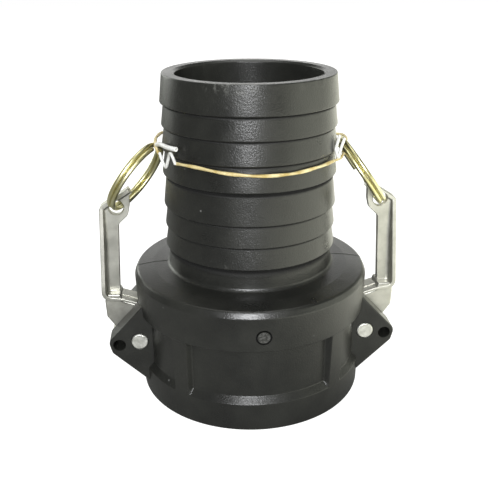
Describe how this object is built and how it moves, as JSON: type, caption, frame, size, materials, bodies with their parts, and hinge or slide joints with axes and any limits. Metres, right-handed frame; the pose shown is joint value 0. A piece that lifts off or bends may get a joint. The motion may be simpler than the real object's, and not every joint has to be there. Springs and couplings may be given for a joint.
{
  "type": "camlock coupling",
  "caption": "Female cam-and-groove hose coupler with barbed shank, two cam arms with pull rings, and a wire tie holding the rings.",
  "frame": {"origin": "centre of the mouth plane, where the adapter goes in", "axes": "+Z along the axis towards the hose end, the two cam arms at +X and -X, their pivot pins along Y"},
  "size_m": [0.144, 0.1116, 0.1511],
  "materials": {
    "body_plastic": "satin moulded, glass-filled",
    "gasket_rubber": "matte",
    "pin_steel": "drawn, knurled ends",
    "arm_steel": "satin cast stainless",
    "ring_plate": "yellow zinc plate",
    "tie_ochre": "smooth covering",
    "tie_white": "smooth covering"
  },
  "bodies": {
    "coupler": {"body": "body_plastic", "gasket": "gasket_rubber", "pivot_pin_left": "pin_steel", "pivot_pin_right": "pin_steel", "tie_loop": "tie_ochre", "tie_end_left": "tie_white", "tie_sleeve": "tie_white", "tie_end_right": "tie_white", "tie_tail_right": "tie_white"},
    "arm_left": {"cam_arm_left": "arm_steel"},
    "arm_right": {"cam_arm_right": "arm_steel"},
    "ring_left": {"pull_ring_left": "ring_plate"},
    "ring_right": {"pull_ring_right": "ring_plate"}
  },
  "joints": [
    {"name": "arm_left_hinge", "type": "hinge", "parent": "coupler", "child": "arm_left", "pos_m": [-0.0545, 0, 0.0283], "axis": [0, -1, 0], "range_deg": [0, 100], "deforming": ["tie_loop", "tie_end_left", "tie_sleeve"]},
    {"name": "arm_right_hinge", "type": "hinge", "parent": "coupler", "child": "arm_right", "pos_m": [0.0545, 0, 0.0283], "axis": [0, 1, 0], "range_deg": [0, 100], "deforming": ["tie_end_right", "tie_tail_right"]},
    {"name": "ring_left_swing", "type": "hinge", "parent": "arm_left", "child": "ring_left", "pos_m": [-0.0624, 0, 0.09004], "axis": [0, -1, 0], "range_deg": [0, 185]},
    {"name": "ring_right_swing", "type": "hinge", "parent": "arm_right", "child": "ring_right", "pos_m": [0.0624, 0, 0.09004], "axis": [0, 1, 0], "range_deg": [0, 185]}
  ]
}
